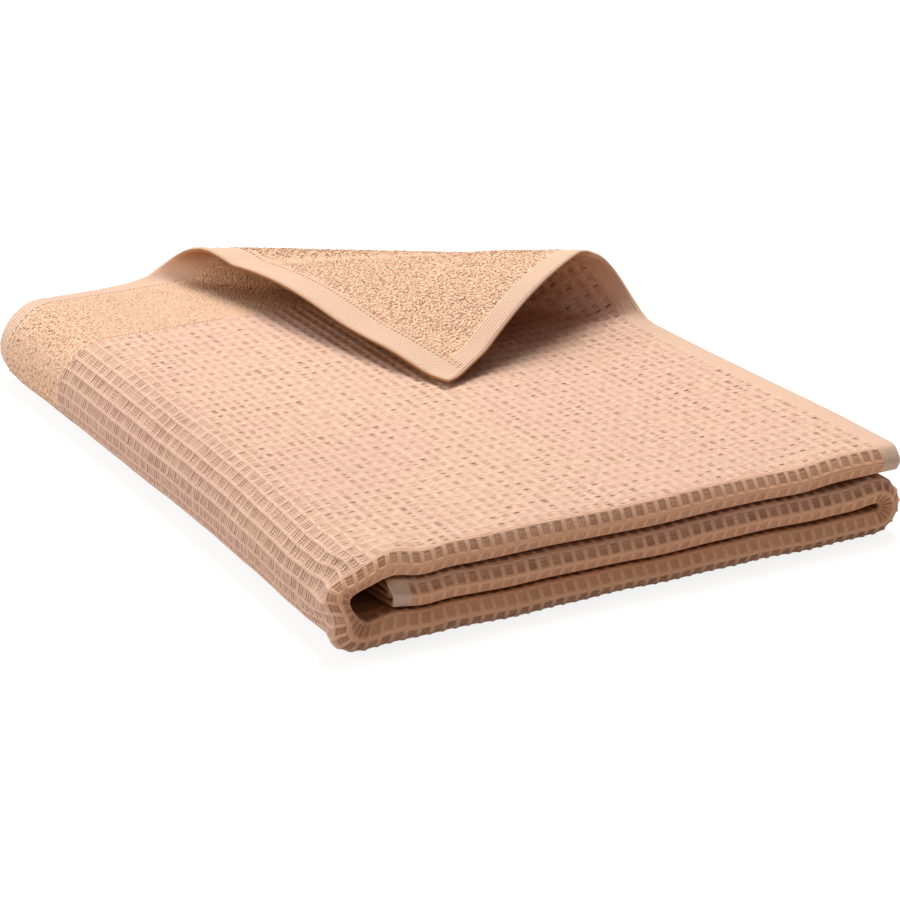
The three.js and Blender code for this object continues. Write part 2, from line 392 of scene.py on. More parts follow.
# mesh lines of the two faces, block by block
lining = {
    "rowsInBlock": 2, "columnsInBlock": 3,
    "plyStep": 18, "borderStep": 4,
    "bendSteps": 6, "shortBlock": 8,
    "beforeSpine": 20, "beforeFold": 8, "pastFold": 4,
    "endHem": (0, 0.1, 0.5, 0.9, 1), "sideHem": (0, 0.15, 0.5, 0.85, 1),
    "closest": 0.004,
    "rimBulge": 0.9,
}


def spacedLines(start, end, step):
    return np.linspace(start, end, max(1, math.ceil((end - start) / step - hair)) + 1)


blockRows = range(weave["rows"], -weave["foldRows"] - 1, -lining["rowsInBlock"])
alongBlocks = [0, weave["endHem"]] + [float(alongAtCell(row)) for row in blockRows]
for stretchEnd in np.cumsum([length for length, turn in lengthFolds[:6]])[2:]:
    alongBlocks += list(spacedLines(alongBlocks[-1], stretchEnd, lining["plyStep"])[1:])
alongBlocks += list(spacedLines(alongBlocks[-1], hemLine, lining["plyStep"])[1:])
alongBlocks = np.array(alongBlocks + [fold["length"]])
blockColumns = range(0, lastColumn, lining["columnsInBlock"])
acrossBlocks = [0] + [float(acrossAtCell(column)) for column in blockColumns]
acrossBlocks = np.array(acrossBlocks + [sideLine, fold["width"]])


# the lines from low to high that lie at the given parts of each cell
def cellCuts(low, high, toCell, fromCell, parts):
    first, last = sorted((float(toCell(low)), float(toCell(high))))
    wholeCells = range(math.floor(first) - 1, math.ceil(last) + 1)
    cells = [whole + part for whole in wholeCells for part in parts]
    cuts = [float(fromCell(cell)) for cell in cells if first + slack < cell < last - slack]
    return np.array(sorted([low, high] + cuts))


def overlaps(low, high, start, end):
    return low < end - slack and high > start + slack


# the lines of one block, finest where the waffle shows
def blockLines(i, j, isWaffleFace):
    low, high = alongBlocks[i], alongBlocks[i + 1]
    left, right = acrossBlocks[j], acrossBlocks[j + 1]
    isOuterPly = high <= alongAtCell(-weave["foldRows"]) + slack
    isNose = isOuterPly and low >= alongAtCell(weave["foldRows"]) - slack
    isTopFace = left < spineEnd
    atSpine = overlaps(left, right, topRun - lining["beforeSpine"], spineEnd)
    atFold = overlaps(left, right, foldStart - lining["beforeFold"], foldEnd + lining["pastFold"])
    isEndHem = high <= weave["endHem"] + slack or low >= hemLine - slack
    isSideHem = right <= weave["sideHem"] + slack or left >= sideLine - slack
    alongLines, acrossLines = np.array((low, high)), np.array((left, right))
    if isOuterPly and not isEndHem and low >= borderEnd - slack:
        isFine = isWaffleFace and (isTopFace or isNose or atFold)
        parts = relief["cellLines"] if isFine else (0, 0.5)
        if isFine or isTopFace:
            alongLines = cellCuts(low, high, cellsAlong, alongAtCell, parts)
        if isFine:
            acrossLines = cellCuts(left, right, cellsAcross, acrossAtCell, parts)
    isBend = high - low < lining["shortBlock"] or overlaps(low, high, plyStraight, noseEnd)
    if isBend and len(alongLines) == 2:
        alongLines = np.linspace(low, high, lining["bendSteps"] + 1)
    if isOuterPly and isTopFace and low >= weave["endHem"] - slack and high <= borderEnd + slack:
        alongLines = spacedLines(low, high, lining["borderStep"])
    if len(acrossLines) == 2 and (atSpine or atFold or (isTopFace and isOuterPly)):
        acrossLines = cellCuts(left, right, cellsAcross, acrossAtCell, (0,))
    if isEndHem:
        alongLines = low + (high - low) * np.array(lining["endHem"])
    if isSideHem:
        acrossLines = left + (right - left) * np.array(lining["sideHem"])
    return alongLines, acrossLines


# the points, faces and mesh lines of one face of the cloth, as distances along and across it
def makeFace(isWaffleFace, sideLines=None):
    rows, columns = len(alongBlocks) - 1, len(acrossBlocks) - 1
    lines = {(i, j): blockLines(i, j, isWaffleFace) for i in range(rows) for j in range(columns)}
    if sideLines:
        # both faces have the same points on the rim
        for (i, j), (alongLines, acrossLines) in lines.items():
            if j in (0, columns - 1):
                alongLines = sideLines[i, j][0]
            if i in (0, rows - 1):
                acrossLines = sideLines[i, j][1]
            lines[i, j] = (alongLines, acrossLines)
    points, known, faces = [], {}, []

    def pointAt(along, across):
        key = (round(along, 3), round(across, 3))
        if key not in known:
            known[key] = len(points)
            points.append((along, across))
        return known[key]

    def between(low, high, other):
        if other is None:
            return []
        return [value for value in other if low + lining["closest"] < value < high - lining["closest"]]

    for (i, j), (alongLines, acrossLines) in lines.items():
        before = lines.get((i - 1, j), (None, None))[1]
        after = lines.get((i + 1, j), (None, None))[1]
        leftOf = lines.get((i, j - 1), (None, None))[0]
        rightOf = lines.get((i, j + 1), (None, None))[0]
        lastA, lastC = len(alongLines) - 2, len(acrossLines) - 2
        for p in range(lastA + 1):
            s0, s1 = alongLines[p], alongLines[p + 1]
            for q in range(lastC + 1):
                t0, t1 = acrossLines[q], acrossLines[q + 1]
                extraLeft = between(s0, s1, leftOf) if q == 0 else []
                extraRight = between(s0, s1, rightOf) if q == lastC else []
                extraBefore = between(t0, t1, before) if p == 0 else []
                extraAfter = between(t0, t1, after) if p == lastA else []
                ring = [pointAt(s0, t0)] + [pointAt(s, t0) for s in extraLeft]
                ring += [pointAt(s1, t0)] + [pointAt(s1, t) for t in extraAfter]
                ring += [pointAt(s1, t1)] + [pointAt(s, t1) for s in reversed(extraRight)]
                ring += [pointAt(s0, t1)] + [pointAt(s0, t) for t in reversed(extraBefore)]
                if len(ring) == 4:
                    faces.append(tuple(ring))
                    continue
                centre = pointAt((s0 + s1) / 2, (t0 + t1) / 2)
                faces += [(centre, ring[k], ring[(k + 1) % len(ring)]) for k in range(len(ring))]
    return np.array(points), faces, lines


# the outer edges of a face, in order of its faces
def rimEdges(faces):
    seen = {edge for face in faces for edge in zip(face, face[1:] + face[:1])}
    return [edge for edge in seen if (edge[1], edge[0]) not in seen]


# the weave's lines stray a little, but not at the hems
def wobbled(points):
    along, across = points[:, 0], points[:, 1]
    endFade, nearFade, farFade = weave["wobbleFades"]
    start, end = weave["wobbleUntil"]
    fade = ramp(0, endFade, along) * ramp(0, nearFade, across) * ramp(0, farFade, fold["width"] - across)
    fade = fade * (1 - ramp(plyStraight + start, plyStraight + end, along))
    strayed = fade * wave("weaveAlong", across, along), fade * wave("weaveAcross", along, across)
    return along + strayed[0], across + strayed[1]


# how far the folds close round each place on a face, from rays that meet the cloth again; it sets how much
# painted shade each place takes
shading = {
    "alongSteps": 190, "acrossSteps": 116, "rays": 20, "reach": 60, "lift": 0.5,
    "tint": (0.25, 0.86, 0, 0.88),   # from the shade to the share of the painted fold shade
}


def outwardRays(count):
    turns = np.arange(count) * math.pi * (3 - math.sqrt(5))
    rise = np.sqrt((np.arange(count) + 0.5) / count)
    flat = np.sqrt(1 - rise ** 2)
    return np.stack((flat * np.cos(turns), flat * np.sin(turns), rise), -1)


def gridPoints(alongs, acrosses):
    return (values.ravel() for values in np.meshgrid(alongs, acrosses, indexing="ij"))


def makeShadeGrids():
    alongs = np.linspace(0, fold["length"], shading["alongSteps"])
    acrosses = np.linspace(0, fold["width"], shading["acrossSteps"])
    along, across = gridPoints(alongs, acrosses)
    middle = clothPoint(along, across, 0.0)
    index = np.arange(len(middle)).reshape(len(alongs), -1)
    corners = np.stack((index[:-1, :-1], index[1:, :-1], index[1:, 1:], index[:-1, 1:]), -1)
    tree = BVHTree.FromPolygons(middle.tolist(), corners.reshape(-1, 4).tolist())
    rays = outwardRays(shading["rays"])
    grids = []
    for out in (faceOut, -faceOut):
        place, first, _, normal = clothFrame(along, across, out)
        second = np.cross(normal, first)
        start = place + normal * shading["lift"] * mm
        met = np.zeros(len(place))
        for a, b, c in rays:
            way = first * a + second * b + normal * c
            for k, (origin, direction) in enumerate(zip(start.tolist(), way.tolist())):
                if tree.ray_cast(origin, direction, shading["reach"] * mm)[0] is not None:
                    met[k] += 1
        grids.append((met / len(rays)).reshape(index.shape))
    return grids


def shadeAt(along, across, isWaffleFace):
    grid = shadeGrids[0 if isWaffleFace else 1]
    a = np.clip(along / fold["length"], 0, 1) * (grid.shape[0] - 1)
    c = np.clip(across / fold["width"], 0, 1) * (grid.shape[1] - 1)
    i = np.minimum(a.astype(int), grid.shape[0] - 2)
    j = np.minimum(c.astype(int), grid.shape[1] - 2)
    p, q = a - i, c - j
    before = grid[i, j] * (1 - q) + grid[i, j + 1] * q
    after = grid[i + 1, j] * (1 - q) + grid[i + 1, j + 1] * q
    return before * (1 - p) + after * p


def setShade(piece, values):
    attribute = piece.data.attributes.new("shade", "FLOAT", "POINT")
    attribute.data.foreach_set("value", np.asarray(values, np.float32))


def makeMesh(name, vertices, faces):
    mesh = bpy.data.meshes.new(name)
    mesh.from_pydata([tuple(v) for v in vertices], [], faces)
    mesh.polygons.foreach_set("use_smooth", np.ones(len(mesh.polygons), bool))
    piece = bpy.data.objects.new(name, mesh)
    bpy.context.scene.collection.objects.link(piece)
    return piece


# the rim between the faces is rounded by one row of points a little further out
def rimPlaces(points):
    bulged = points.copy()
    for side, size in enumerate((fold["length"], fold["width"])):
        bulged[points[:, side] < slack, side] -= lining["rimBulge"]
        bulged[points[:, side] > size - slack, side] += lining["rimBulge"]
    return clothPoint(bulged[:, 0], bulged[:, 1], 0.0)


# the weave's own coordinates, in cells
def addWeaveMap(cloth, points):
    cells = np.stack((cellsAcross(points[:, 1]), cellsAlong(points[:, 0])), -1)
    corners = np.empty(len(cloth.data.loops), np.int32)
    cloth.data.loops.foreach_get("vertex_index", corners)
    weaveMap = cloth.data.uv_layers.new(name="weave")
    weaveMap.data.foreach_set("uv", cells[corners].ravel())


# the order of the cloth's materials
reliefSlot, bumpSlot, loopSlot, hemSlot = range(4)


def slotAt(along, across, isWaffleFace):
    atEnd = along < weave["endHem"] or along > hemLine
    atSide = across < weave["sideHem"] or across > sideLine
    if atEnd or atSide:
        return hemSlot
    if not isWaffleFace or along < borderEnd:
        return loopSlot
    atFold = foldStart - lining["beforeFold"] < across < foldEnd + lining["pastFold"]
    inRelief = across < spineEnd or along > alongAtCell(weave["foldRows"]) or atFold
    return reliefSlot if inRelief and along < alongAtCell(-weave["foldRows"]) else bumpSlot


def keyOf(point):
    return tuple(round(value, 3) for value in point)


def makeCloth():
    wafflePoints, waffleFaces, waffleLines = makeFace(True)
    loopPoints, loopFaces, _ = makeFace(False, waffleLines)
    top = clothPoint(*wobbled(wafflePoints), faceOut + waffleRelief(*wafflePoints.T))
    bottom = clothPoint(*wobbled(loopPoints), -faceOut)
    edges = rimEdges(waffleFaces)
    rimPoints = sorted({point for edge in edges for point in edge})
    rim = rimPlaces(wafflePoints[rimPoints])

    loopStart, rimStart = len(top), len(top) + len(bottom)
    loopIndex = {keyOf(point): k + loopStart for k, point in enumerate(loopPoints)}
    rimIndex = {point: k + rimStart for k, point in enumerate(rimPoints)}
    faces = [tuple(reversed(face)) for face in waffleFaces]
    faces += [tuple(point + loopStart for point in face) for face in loopFaces]
    for start, end in edges:
        beneath = [loopIndex[keyOf(wafflePoints[point])] for point in (end, start)]
        faces.append((start, end, rimIndex[end], rimIndex[start]))
        faces.append((rimIndex[start], rimIndex[end], *beneath))
    cloth = makeMesh("towelCloth", np.concatenate((top, bottom, rim)), faces)

    # each point takes the painted fold shade of its place
    waffleShade = shadeAt(*wafflePoints.T, True)
    loopShade = shadeAt(*loopPoints.T, False)
    setShade(cloth, np.concatenate((waffleShade, loopShade, waffleShade[rimPoints])))
    addWeaveMap(cloth, np.concatenate((wafflePoints, loopPoints, wafflePoints[rimPoints])))
    slots = [slotAt(*wafflePoints[list(face)].mean(0), True) for face in waffleFaces]
    slots += [slotAt(*loopPoints[list(face)].mean(0), False) for face in loopFaces]
    slots += [hemSlot] * (2 * len(edges))
    cloth.data.polygons.foreach_set("material_index", np.array(slots, np.int32))
    return cloth


loops = {
    "flapPitch": 1.8, "baredPitch": 2.1, "pitch": 2.0, "jitter": 0.45,
    "yarn": 0.48, "height": 0.75, "width": 1.5, "tilt": 0.9,
    "heights": (0.6, 1.25), "widths": (0.7, 1.3),   # from loop to loop
    "past": 0.15, "foot": 0.1, "sunk": 0.45,
    "segments": 4, "sides": 3, "endTaper": 0.55,
    "hemGap": 1.5, "fromRoll": 12, "fromBared": 2,
    "flapReach": 300, "baredReach": 260,
}
borderLook = dict(loops, height=0.5, yarn=0.4, sunk=0.35)
borderLook.update({"ragged": 8, "pastBorder": 5, "fromSide": 55, "backReach": 55})


def unit(vectors):
    return vectors / np.linalg.norm(vectors, axis=-1, keepdims=True)


# short tubes, each bent along its own points, as one mesh
def makeTubes(name, paths, radius, sides):
    count, steps = paths.shape[:2]
    tangent = unit(np.gradient(paths, axis=1))
    sideways = unit(np.cross(tangent, np.array((0.31, 0.22, 0.93))))
    upward = np.cross(sideways, tangent)
    angles = (np.arange(sides) * 2 * np.pi / sides)[:, None]
    taper = np.ones(steps)
    taper[[0, -1]] = loops["endTaper"]
    ring = sideways[:, :, None] * np.cos(angles) + upward[:, :, None] * np.sin(angles)
    places = paths[:, :, None] + ring * (radius * taper[:, None, None])
    index = np.arange(count * steps * sides).reshape(count, steps, sides)
    low, high = index[:, :-1], index[:, 1:]
    quads = np.stack((low, np.roll(low, -1, 2), np.roll(high, -1, 2), high), -1).reshape(-1, 4)
    caps = np.concatenate((index[:, 0, ::-1], index[:, -1]))
    return makeMesh(name, places.reshape(-1, 3), quads.tolist() + caps.tolist())


# two directions in the cloth and its outward normal, at places on one of its faces
def clothFrame(along, across, out):
    step = 0.5
    place = clothPoint(along, across, out)
    alongWay = unit(clothPoint(along + step, across, out) - clothPoint(along - step, across, out))
    acrossWay = unit(clothPoint(along, across + step, out) - clothPoint(along, across - step, out))
    normal = unit(clothPoint(along, across, out + np.sign(out) * step) - place)
    return place, alongWay, acrossWay, normal


def jitteredGrid(low, high, left, right, pitch):
    alongs = np.arange(low, high, pitch)
    acrosses = np.arange(left, right, pitch)
    along, across = gridPoints(alongs, acrosses)
    along = along + rng.uniform(-loops["jitter"], loops["jitter"], along.size) * pitch
    across = across + rng.uniform(-loops["jitter"], loops["jitter"], across.size) * pitch
    inside = (along > low) & (along < high) & (across > left) & (across < right)
    return along[inside], across[inside]


def makeLoops(name, along, across, out, look):
    place, alongWay, acrossWay, normal = clothFrame(along, across, out)
    count = len(along)
    spin = rng.uniform(0, 2 * np.pi, count)[:, None]
    way = np.cos(spin) * alongWay + np.sin(spin) * acrossWay
    tilt = rng.uniform(-look["tilt"], look["tilt"], (count, 1))
    other = np.cos(spin) * acrossWay - np.sin(spin) * alongWay
    rise = normal * np.cos(tilt) + other * np.sin(tilt)
    halfLoop = look["width"] / 2 * rng.uniform(*look["widths"], (count, 1)) * mm
    height = look["height"] * rng.uniform(*look["heights"], (count, 1)) * mm
    turns = np.linspace(-look["past"], math.pi + look["past"], look["segments"] + 1)
    paths = [place + way * halfLoop * math.cos(turn) + rise * height * (math.sin(turn) - look["foot"])
             for turn in turns]
    piece = makeTubes(name, np.stack(paths, 1), look["yarn"] * mm, look["sides"])
    # the loops take the painted fold shade of the place they stand on
    setShade(piece, np.repeat(shadeAt(along, across, out > 0), (look["segments"] + 1) * look["sides"]))
    return piece


# where the top ply would lie if its corner weren't turned over
def flatPlace(along, across):
    return skewEnd(halfWidth - across, foldedDepth / 2 - along, True, fold["cornerStretch"])


def makeFlapLoops():
    low, left = weave["endHem"] + loops["hemGap"], weave["sideHem"] + 1
    along, across = jitteredGrid(low, loops["flapReach"], left, loops["flapReach"], loops["flapPitch"])
    kept = pastRollLine(*flatPlace(along, across))[1] > loops["fromRoll"]
    return makeLoops("flapLoops", along[kept], across[kept], -faceOut + loops["sunk"], loops)


# the looped face of the ply that the turned-over corner lays bare
def makeBaredLoops():
    low, high = fold["length"] - loops["baredReach"], hemLine - loops["hemGap"]
    along, across = jitteredGrid(low, high, weave["sideHem"] + 1, loops["baredReach"], loops["baredPitch"])
    place = clothPoint(along, across, -faceOut) / mm + np.array(fold["middle"])
    kept = pastRollLine(place[:, 0], place[:, 1])[1] > loops["fromBared"]
    return makeLoops("baredLoops", along[kept], across[kept], -faceOut + loops["sunk"], loops)


# the waffle face has loops too, on the border beside the end hem
def makeBorderLoops(name, high, left, right):
    along, across = jitteredGrid(weave["endHem"] + loops["hemGap"], high, left, right, borderLook["pitch"])
    ragged = borderLook["ragged"]
    kept = along < high - ragged + ragged * rng.uniform(0, 1, along.size) ** 2
    return makeLoops(name, along[kept], across[kept], faceOut - borderLook["sunk"], borderLook)


stitches = {
    "length": 1.8, "pitch": 2.5, "radius": 0.34, "sides": 4,
    "shape": ((-1, -0.35), (-0.6, 0.05), (0, 0.15), (0.6, 0.05), (1, -0.35)),   # half lengths, heights
    "fromEdge": 14.6, "fromNear": 3, "fromFar": 12, "pastFold": 5, "baredUntil": 200,
    "seamBefore": 75, "seamPast": 25,               # the row where the border ends, near the spine
    "secondRow": 17, "secondUntil": 70,
}


# a row of stitches across the cloth, on one of its faces
def stitchRow(along, start, end, out):
    middles = np.arange(start, end, stitches["pitch"])
    points = []
    for shift, depth in stitches["shape"]:
        across = middles + shift * stitches["length"] / 2
        points.append(clothPoint(float(along), across, out + np.sign(out) * depth))
    return np.stack(points, 1)


def makeStitches():
    near, far = stitches["fromNear"], fold["width"] - stitches["fromFar"]
    hemRow, spineSide = stitches["fromEdge"], spineEnd - stitches["fromFar"]
    rows = [
        stitchRow(hemRow, near, spineSide, -faceOut),
        stitchRow(hemRow, near, spineSide, faceOut),
        stitchRow(borderEnd, topRun - stitches["seamBefore"], topRun + stitches["seamPast"], faceOut),
        stitchRow(hemRow, foldEnd + stitches["pastFold"], far, faceOut),
        stitchRow(fold["length"] - hemRow, near, stitches["baredUntil"], -faceOut),
        stitchRow(stitches["secondRow"], near, stitches["secondUntil"], -faceOut),
    ]
    return makeTubes("hemStitches", np.concatenate(rows), stitches["radius"] * mm, stitches["sides"])


# gives each named or numbered input its number, colour or socket
def feed(inputs, values):
    for key, value in values.items():
        if hasattr(value, "is_output"):
            value.id_data.links.new(value, inputs[key])
        else:
            inputs[key].default_value = value


def addNode(tree, kind, values={}):
    node = tree.nodes.new("ShaderNode" + kind)
    feed(node.inputs, values)
    return node


def addGroup(tree, group, values={}):
    node = addNode(tree, "Group")
    node.node_tree = group
    feed(node.inputs, values)
    return node


def treeOf(*values):
    return next(value.id_data for value in values if hasattr(value, "is_output"))


def mathNode(operation, *values):
    node = addNode(treeOf(*values), "Math", dict(enumerate(values)))
    node.operation = operation
    return node.outputs[0]


def plus(first, second):
    return mathNode("ADD", first, second)


def minus(first, second):
    return mathNode("SUBTRACT", first, second)


def times(first, second):
    return mathNode("MULTIPLY", first, second)


def floor(value):
    return mathNode("FLOOR", value)


# how far a value is from the middle of its cell
def fromMiddle(value):
    return mathNode("ABSOLUTE", minus(mathNode("FRACT", value), 0.5))


def ribsNode(value, count):
    return mathNode("ABSOLUTE", mathNode("SINE", times(value, math.pi * count)))


def rangeNode(value, low, high, outLow=0.0, outHigh=1.0):
    values = {"Value": value, "From Min": low, "From Max": high, "To Min": outLow, "To Max": outHigh}
    node = addNode(treeOf(value), "MapRange", values)
    node.interpolation_type = "SMOOTHSTEP"
    return node.outputs["Result"]


def noiseNode(place, scale, detail):
    return addNode(treeOf(place), "TexNoise", {"Vector": place, "Scale": scale, "Detail": detail}).outputs[0]


# a random number of its own for each pair of whole numbers
def chanceNode(first, second):
    place = addNode(treeOf(first), "CombineXYZ", {0: first, 1: second})
    return addNode(treeOf(first), "TexWhiteNoise", {"Vector": place.outputs[0]}).outputs[0]


def mixColour(factor, first, second):
    node = addNode(treeOf(factor, first, second), "Mix", {"Factor": factor})
    node.data_type = "RGBA"
    feed([socket for socket in node.inputs if socket.type == "RGBA"], {0: first, 1: second})
    return next(socket for socket in node.outputs if socket.type == "RGBA")


def mixValue(factor, first, second):
    return addNode(treeOf(factor), "Mix", {0: factor, 2: first, 3: second}).outputs[0]


# an input without a number is a vector
def newGroup(name, inputs, outputs):
    tree = bpy.data.node_groups.new(name, "ShaderNodeTree")
    for label, value in inputs.items():
        kind = "NodeSocketVector" if value is None else "NodeSocketFloat"
        socket = tree.interface.new_socket(label, in_out="INPUT", socket_type=kind)
        if value is not None:
            socket.default_value = value
    for label in outputs:
        tree.interface.new_socket(label, in_out="OUTPUT", socket_type="NodeSocketFloat")
    return tree, tree.nodes.new("NodeGroupInput").outputs, tree.nodes.new("NodeGroupOutput").inputs


# in cells, but for the slits' width, which is in shares of their pitch
slits = {
    "perRow": 4, "width": (0.33, 0.1),
    "short": (0.27, 0.12), "long": (0.47, 0.34),      # on the flat, and round the spine
    "inPit": (0.44, 0.32), "overRidge": (0.48, 0.36, 0.5, 1),
    "rare": 2.6, "least": 0.1, "most": 1.1,           # on the flat few are wide open
    "patchScale": 0.22, "patches": (0.3, 0.65, 0.45, 1.15),
    "pulledLeast": 0.45, "pulledMore": 0.45,          # round the spine nearly all are
}
noseHoles = {
    "width": (0.35, 0.24), "height": (0.38, 0.26),
    "least": 0.5, "more": 0.35,
    "fainterBelow": (-0.1, 0.1, 0.45, 1),
}
pits = {"width": (0.37, 0.14), "height": (0.35, 0.14), "wider": 0.1, "fade": 0.6}
yarns = {
    "wefts": 6, "warps": 4, "warpRows": (0.4, 0.28),
    "strandScale": (1.1, 9, 1), "uneven": (0.3, 0.7, 0.4, 1.3), "gapDepth": 0.6,
}


# waffle cells: pits with slits between the yarns, ribbed by the floats round them
def makeWeaveGroup():
    inputs = {"Cells": None, "Pit Depth": 0.4, "Yarn Relief": 0.25}
    tree, given, put = newGroup("waffleWeave", inputs, ("Height", "Pit", "Gap", "Strands", "Nose"))
    u, v = addNode(tree, "SeparateXYZ", {0: given["Cells"]}).outputs[:2]
    middleU, middleV = fromMiddle(u), fromMiddle(v)

    # slits stand between the weft yarns of a pit, and no two are equally open
    slitPlace = plus(times(v, slits["perRow"]), 0.5)
    slitChance = chanceNode(floor(u), floor(slitPlace))
    patches = noiseNode(given["Cells"], slits["patchScale"], 2)
    openness = times(mathNode("POWER", slitChance, slits["rare"]),
                     rangeNode(patches, *slits["patches"]))
    openness = times(plus(openness, slits["least"]), slits["most"])

    # the bend round the spine pulls them open in long rows
    before, past = weave["spineBend"]
    atSpine = times(
        rangeNode(u, float(cellsAcross(topRun - before)), float(cellsAcross(topRun + past))),
        rangeNode(u, float(cellsAcross(spineEnd + past)), float(cellsAcross(spineEnd - before))),
    )
    pulled = plus(times(slitChance, slits["pulledMore"]), slits["pulledLeast"])
    openness = mixValue(atSpine, openness, pulled)
    slit = rangeNode(fromMiddle(slitPlace), *slits["width"])
    for name, pulledName, middle in (("short", "long", middleU), ("inPit", "overRidge", middleV)):
        flat, stretched = (rangeNode(middle, *slits[key]) for key in (name, pulledName))
        slit = times(slit, mixValue(atSpine, flat, stretched))
    gap = times(slit, openness)

    # the bend round a front fold opens each pit as a whole
    atNose = rangeNode(v, weave["noseBend"], 0)
    cellChance = chanceNode(floor(u), floor(v))
    hole = times(rangeNode(middleU, *noseHoles["width"]),
                 rangeNode(middleV, *noseHoles["height"]))
    hole = times(hole, plus(times(cellChance, noseHoles["more"]), noseHoles["least"]))
    hole = times(hole, rangeNode(v, *noseHoles["fainterBelow"]))
    gap = mixValue(atNose, gap, hole)

    bent = mathNode("MAXIMUM", atSpine, atNose)
    wider = times(bent, pits["wider"])
    pit = times(rangeNode(minus(middleU, wider), *pits["width"]),
                rangeNode(minus(middleV, wider), *pits["height"]))
    pit = times(pit, minus(1, times(bent, pits["fade"])))

    # floats run across the cloth over the rows' ridges and along it over the columns'
    stretched = addNode(tree, "VectorMath", {0: given["Cells"], 1: yarns["strandScale"]})
    stretched.operation = "MULTIPLY"
    strands = noiseNode(stretched.outputs[0], 1, 2)
    weft, warp = ribsNode(v, yarns["wefts"]), ribsNode(u, yarns["warps"])
    isWarp = rangeNode(middleV, *yarns["warpRows"])
    weft = times(weft, rangeNode(strands, *yarns["uneven"]))
    yarn = plus(times(warp, isWarp), times(weft, minus(1, isWarp)))
    height = times(yarn, given["Yarn Relief"])
    height = minus(height, times(pit, given["Pit Depth"]))
    height = minus(height, times(gap, yarns["gapDepth"]))
    # Pit, Gap and Nose also say where painted shade goes; Height is the relief
    feed(put, {"Height": height, "Pit": pit, "Gap": gap, "Strands": strands, "Nose": atNose})
    return tree


# scale and detail of the noises
fibres = {"hairs": (2200, 3), "blush": (14, 2), "flecks": (700, 3), "spread": (0.35, 0.65)}


# loose fibres and the slow changes of colour over the cloth
def makeFibreGroup():
    tree, given, put = newGroup("cottonFibre", {"Fibre": 0.1}, ("Height", "Blush", "Fleck"))
    place = addNode(tree, "TexCoord").outputs["Object"]
    hairs, blush, flecks = (noiseNode(place, *fibres[name]) for name in ("hairs", "blush", "flecks"))
    blush, flecks = (rangeNode(noise, *fibres["spread"]) for noise in (blush, flecks))
    feed(put, {"Height": times(hairs, given["Fibre"]), "Blush": blush, "Fleck": flecks})
    return tree


colours = {
    "light": (0.87, 0.575, 0.41, 1),
    "blush": (0.85, 0.54, 0.41, 1),
    "strand": (0.67, 0.39, 0.265, 1),
    # painted highlight on the floats' streaks
    "paintedHighlight": (0.96, 0.68, 0.50, 1),
    # painted shade: the front folds' cells are redder, standing in for the redder light in their shade
    "nose": (0.97, 0.48, 0.26, 1),
    # painted shade for closed folds, darker and redder
    "fold": (0.40, 0.14, 0.02, 1),
    # painted shade in the pits
    "pit": (0.45, 0.20, 0.11, 1),
    # painted shade in the slits and holes between the yarns
    "gap": (0.26, 0.10, 0.05, 1),
    "hem": (0.87, 0.585, 0.41, 1),
    # painted shade in the grooves between the hem's ribs
    "hemGrooveShade": (0.66, 0.40, 0.26, 1),
    "loop": (0.99, 0.655, 0.43, 1),
    # painted shade on the ground beneath the loops, mixed in by the flecks
    "loopGroundShade": (0.87, 0.48, 0.29, 1),
    "thread": (0.86, 0.50, 0.28, 1),
}


cotton = {
    "Roughness": 0.92, "Specular IOR Level": 0.15,
    "Sheen Weight": 0.12, "Sheen Roughness": 0.6,
}


def newMaterial(name):
    material = bpy.data.materials.new(name)
    material.use_nodes = True
    tree = material.node_tree
    shader = tree.nodes["Principled BSDF"]
    feed(shader.inputs, cotton)
    return material, tree, shader


def weaveCoordinates(tree):
    node = addNode(tree, "UVMap")
    node.uv_map = "weave"
    return node.outputs[0]


# painted shade: closed folds are made darker and redder in colour, standing in for the light that is passed
# on from ply to ply and reddens
def paintFoldShadeAndBump(shader, colour, height, bumpHeight):
    tree = shader.id_data
    shade = addNode(tree, "Attribute")
    shade.attribute_name = "shade"
    colour = mixColour(rangeNode(shade.outputs["Fac"], *shading["tint"]), colour, colours["fold"])
    bump = addNode(tree, "Bump", {"Distance": bumpHeight * mm, "Height": height})
    feed(shader.inputs, {"Base Color": colour, "Normal": bump.outputs[0]})


waffleLook = {
    "thin": (0.55, 0.38, 0, 0.75), "paintedHighlight": (0.56, 0.68, 0, 0.6),   # of the strands
    # nose, pit and gap are shares of painted shade
    "nose": 0.8, "pit": 0.13, "gap": 0.85,
    "reliefPits": 0.35, "bumpPits": 1.2, "bump": 1,
}


def makeWaffleMaterial(name, weaveGroup, fibreGroup, pitDepth):
    material, tree, shader = newMaterial(name)
    cells = addGroup(tree, weaveGroup, {"Cells": weaveCoordinates(tree), "Pit Depth": pitDepth})
    fibre = addGroup(tree, fibreGroup)
    colour = mixColour(fibre.outputs["Blush"], colours["light"], colours["blush"])
    # streaks along the floats: darker strands, and painted highlights on the lighter ones
    for share, tint in (("thin", "strand"), ("paintedHighlight", "paintedHighlight")):
        amount = rangeNode(cells.outputs["Strands"], *waffleLook[share])
        colour = mixColour(amount, colour, colours[tint])
    # painted shade: the front folds redden, and the pits and the slits between the yarns darken
    for mask, tint in (("Nose", "nose"), ("Pit", "pit"), ("Gap", "gap")):
        colour = mixColour(times(cells.outputs[mask], waffleLook[tint]), colour, colours[tint])
    height = plus(cells.outputs["Height"], fibre.outputs["Height"])
    paintFoldShadeAndBump(shader, colour, height, waffleLook["bump"])
    return material


loopLook = {"fibre": 0.25, "deep": 0.6, "bump": 0.6}


